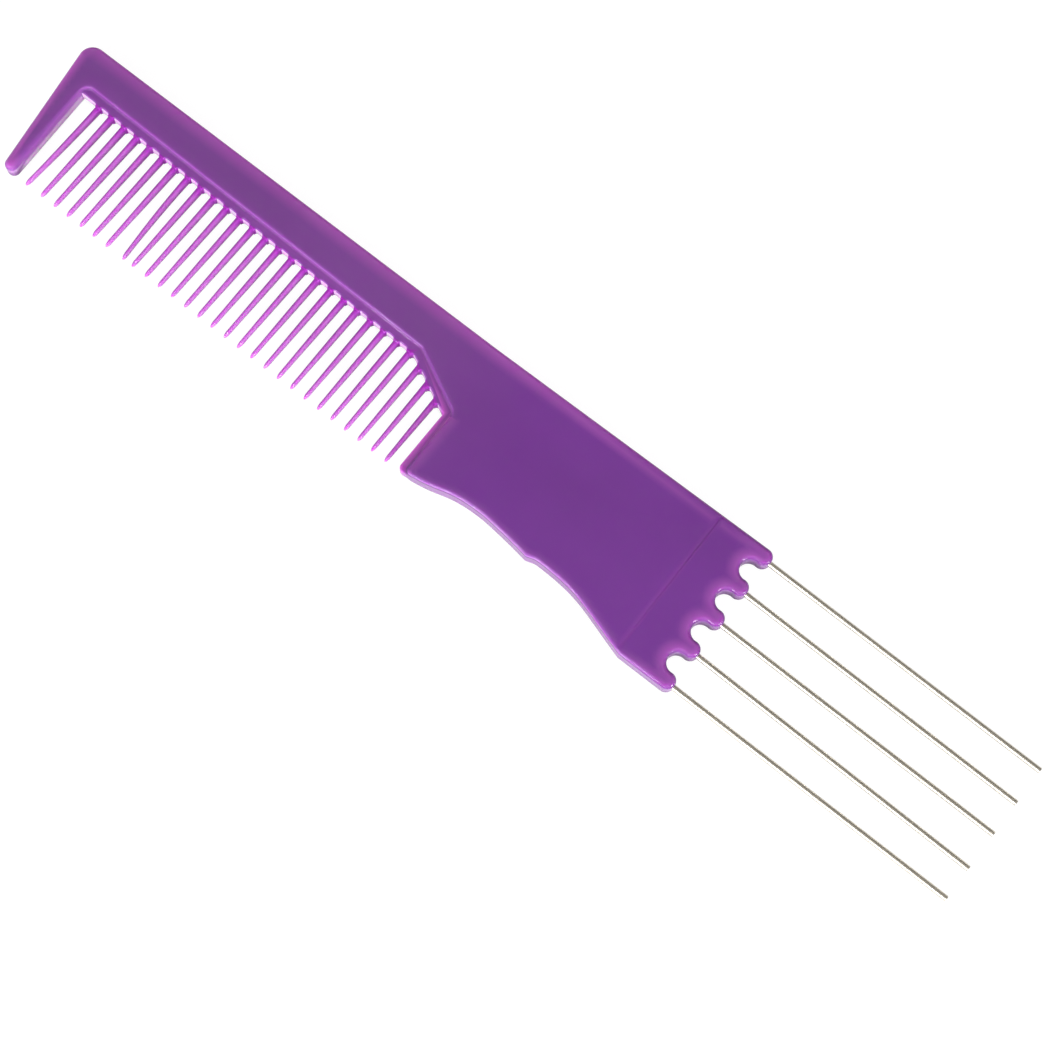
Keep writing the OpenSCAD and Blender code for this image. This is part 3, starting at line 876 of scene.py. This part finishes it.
class MouldComb(bpy.types.Operator):
    """Builds the moulded plastic body with its teeth"""

    bl_idname = "comb.mould_body"
    bl_label = "Mould the comb body"

    def execute(self, context):
        settings = context.scene.comb_moulding
        plan = Plan(settings)
        mid = (BODY_LOW.z + BODY_HIGH.z) / 2
        bed_low, bed_high = mid - settings.bed_thickness / 2, mid + settings.bed_thickness / 2

        def plate(shape):
            rounded_slab(shape, plan.plate(), BODY_LOW.z, BODY_HIGH.z, bed_low)

        def bed(shape):
            rounded_slab(shape, plan.bed(), bed_low, bed_high, steps=4)

        def teeth(shape):
            for number in range(1, settings.tooth_count + 1):
                tooth_solid(shape, tooth_sections(plan, number))

        def groove(shape):
            insert_line_cutter(shape, plan)

        made = solid_object("comb_moulding", plate)
        combine(made, solid_object("tooth_bed", bed), "UNION")
        combine(made, solid_object("teeth", teeth), "UNION")
        combine(made, solid_object("insert_line", groove), "DIFFERENCE")
        net_caps(made)
        smooth(made, 25)
        # Each vertex is painted with the plastic's tint and with painted glow, highlights and shade
        colours = Colours(plan)
        painted = made.data.attributes.new("plastic_colour_and_painted_light", "FLOAT_COLOR", "POINT")
        for vertex, paint in zip(made.data.vertices, painted.data):
            paint.color = (*colours.at(vertex.co), 1.0)
        made.data.materials.clear()
        made.data.materials.append(purple_plastic(settings))
        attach(made, "root")
        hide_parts("comb_body")
        return {"FINISHED"}


def pin_axis(node):
    """Inner and free end of a pin's middle line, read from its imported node."""
    low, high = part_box(node)
    ends = []
    for x in (low.x, high.x):
        near = [v.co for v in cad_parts[node].data.vertices if abs(v.co.x - x) < 0.0004]
        ends.append(sum(near, Vector()) / len(near))
    return ends


class DrawPins(bpy.types.Operator):
    """Builds the five steel pins"""

    bl_idname = "comb.draw_pins"
    bl_label = "Draw the lift pins"

    def execute(self, context):
        settings = context.scene.comb_pins
        steel = drawn_steel(settings)
        radius = settings.diameter / 2
        for node in PIN_NODES:
            inner, free = pin_axis(node)
            free.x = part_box(node)[1].x
            along = (free - inner).normalized()
            start = inner + along * ((BODY_HIGH.x - settings.held - inner.x) / along.x)
            side = along.cross(Vector((0, 0, 1))).normalized()
            upright = side.cross(along)
            length = (free - start).length
            bevel = settings.cut_bevel
            profile = [(length * share, radius) for share in (0.0, 0.25, 0.5, 0.75)]
            profile += [(length - bevel, radius), (length - bevel * 0.3, radius - bevel * 0.25),
                        (length, radius - bevel)]

            def wire(shape):
                rings = []
                for at, wide in profile:
                    ring = []
                    for k in range(PIN_SIDES):
                        turn = 2 * math.pi * k / PIN_SIDES
                        ring.append(shape.verts.new(
                            start + along * at + (side * math.cos(turn) + upright * math.sin(turn)) * wide))
                    rings.append(ring)
                for under, over in zip(rings, rings[1:]):
                    for k in range(PIN_SIDES):
                        j = (k + 1) % PIN_SIDES
                        shape.faces.new((under[k], under[j], over[j], over[k]))
                shape.faces.new(list(reversed(rings[0])))
                shape.faces.new(rings[-1])

            made = solid_object("steel_" + node, wire)
            smooth(made, 40)
            made.data.materials.append(steel)
            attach(made, "root")
            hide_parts(node)
        return {"FINISHED"}


def seen_directly(nodes, links):
    """One for what the camera sees by itself or through the plastic, and else nought."""
    path = nodes.new("ShaderNodeLightPath")
    either = nodes.new("ShaderNodeMath")
    either.operation = "MAXIMUM"
    links.new(path.outputs["Is Camera Ray"], either.inputs[0])
    links.new(path.outputs["Is Transmission Ray"], either.inputs[1])
    return either.outputs[0]


def pale_material(name, colour, white_share):
    """Pale matt surface that also shows as white to the camera and through the plastic."""
    material = bpy.data.materials.new(name)
    material.use_nodes = True
    nodes, links = material.node_tree.nodes, material.node_tree.links
    nodes.clear()
    output = nodes.new("ShaderNodeOutputMaterial")
    matt = nodes.new("ShaderNodeBsdfDiffuse")
    matt.inputs["Color"].default_value = (*colour, 1.0)
    white = nodes.new("ShaderNodeEmission")
    white.inputs["Color"].default_value = (1.0, 1.0, 1.0, 1.0)
    white.inputs["Strength"].default_value = 1.07
    share = nodes.new("ShaderNodeMath")
    share.operation = "MULTIPLY"
    share.inputs[1].default_value = white_share
    links.new(seen_directly(nodes, links), share.inputs[0])
    mix = nodes.new("ShaderNodeMixShader")
    links.new(share.outputs[0], mix.inputs["Fac"])
    links.new(matt.outputs[0], mix.inputs[1])
    links.new(white.outputs[0], mix.inputs[2])
    links.new(mix.outputs[0], output.inputs["Surface"])
    return material


def soft_lamp(name, power, size, place, aim):
    light = bpy.data.lights.new(name, "AREA")
    light.shape = "RECTANGLE"
    light.size, light.size_y = size
    light.energy = power
    made = bpy.data.objects.new(name, light)
    bpy.context.scene.collection.objects.link(made)
    back = (Vector(place) - Vector(aim)).normalized()
    made.rotation_euler = back.to_track_quat("Z", "Y").to_euler()
    made.location = place
    return made


class SetStage(bpy.types.Operator):
    """Lays the floor, hangs the lamps and stands the camera at the photograph's place"""

    bl_idname = "comb.set_stage"
    bl_label = "Set the stage"

    def execute(self, context):
        settings = context.scene.comb_stage

        def sheet(shape):
            half = FLOOR_HALF
            corners = [(-half, -half), (half, -half), (half, half), (-half, half)]
            shape.faces.new([shape.verts.new((x, y, BODY_LOW.z - FLOOR_GAP)) for x, y in corners])

        floor = solid_object("floor", sheet)
        floor.data.materials.append(pale_material("pale_floor", settings.floor, 0.88))

        world = context.scene.world or bpy.data.worlds.new("soft_room")
        context.scene.world = world
        world.use_nodes = True
        nodes, links = world.node_tree.nodes, world.node_tree.links
        nodes.clear()
        output = nodes.new("ShaderNodeOutputWorld")
        sky = nodes.new("ShaderNodeBackground")
        sky.inputs["Color"].default_value = (1.0, 1.0, 1.0, 1.0)
        sky.inputs["Strength"].default_value = settings.sky
        white = nodes.new("ShaderNodeBackground")
        white.inputs["Color"].default_value = (1.0, 1.0, 1.0, 1.0)
        white.inputs["Strength"].default_value = 1.0
        mix = nodes.new("ShaderNodeMixShader")
        links.new(seen_directly(nodes, links), mix.inputs["Fac"])
        links.new(sky.outputs[0], mix.inputs[1])
        links.new(white.outputs[0], mix.inputs[2])
        links.new(mix.outputs[0], output.inputs["Surface"])

        centre = (0.0, 0.0, 0.0)
        soft_lamp("key_lamp", settings.key, KEY_SIZE, KEY_PLACE, centre)
        soft_lamp("fill_lamp", settings.fill, FILL_SIZE, FILL_PLACE, centre)

        def card(shape):
            corners = [(-1.2, -0.33), (-1.2, 2.2), (1.2, 2.2), (1.2, -0.33)]
            shape.faces.new([shape.verts.new((x, y, CARD_HEIGHT)) for x, y in corners])

        ceiling = solid_object("ceiling_card", card)
        ceiling.visible_camera = False
        grey = bpy.data.materials.new("grey_card")
        grey.use_nodes = True
        paint = grey.node_tree.nodes["Principled BSDF"]
        paint.inputs["Base Color"].default_value = (0.33, 0.32, 0.31, 1.0)
        paint.inputs["Roughness"].default_value = 1.0
        ceiling.data.materials.append(grey)

        # The camera stands high over the lower right of the comb and is rolled a little
        back = Vector(CAMERA_BACK)
        right = Vector(CAMERA_RIGHT)
        up = back.cross(right)
        lens = bpy.data.cameras.new("camera")
        lens.sensor_width = CAMERA_SENSOR
        lens.lens = CAMERA_LENS
        lens.clip_start = 0.01
        camera = bpy.data.objects.new("camera", lens)
        context.scene.collection.objects.link(camera)
        turn = Matrix((right, up, back)).transposed()
        camera.matrix_world = Matrix.Translation(CAMERA_PLACE) @ turn.to_4x4()
        context.scene.camera = camera
        context.scene.view_settings.view_transform = "Standard"
        return {"FINISHED"}


class CombPanel(bpy.types.Panel):
    """Lists the sizes, the colours and the steps"""

    bl_idname = "VIEW3D_PT_comb"
    bl_label = "Comb"
    bl_space_type = "VIEW_3D"
    bl_region_type = "UI"
    bl_category = "Comb"

    def draw(self, context):
        for group, step in (("comb_moulding", MouldComb), ("comb_pins", DrawPins), ("comb_stage", SetStage)):
            box = self.layout.box()
            settings = getattr(context.scene, group)
            for name in settings.__annotations__:
                box.prop(settings, name)
            box.operator(step.bl_idname)


CLASSES = (CombMoulding, CombPins, CombStage, MouldComb, DrawPins, SetStage, CombPanel)


def register():
    for made in CLASSES:
        bpy.utils.register_class(made)
    bpy.types.Scene.comb_moulding = PointerProperty(type=CombMoulding)
    bpy.types.Scene.comb_pins = PointerProperty(type=CombPins)
    bpy.types.Scene.comb_stage = PointerProperty(type=CombStage)


def unregister():
    del bpy.types.Scene.comb_stage
    del bpy.types.Scene.comb_pins
    del bpy.types.Scene.comb_moulding
    for made in reversed(CLASSES):
        bpy.utils.unregister_class(made)


def main():
    register()
    bpy.ops.comb.mould_body()
    bpy.ops.comb.draw_pins()
    bpy.ops.comb.set_stage()


if __name__ == "__main__":
    main()
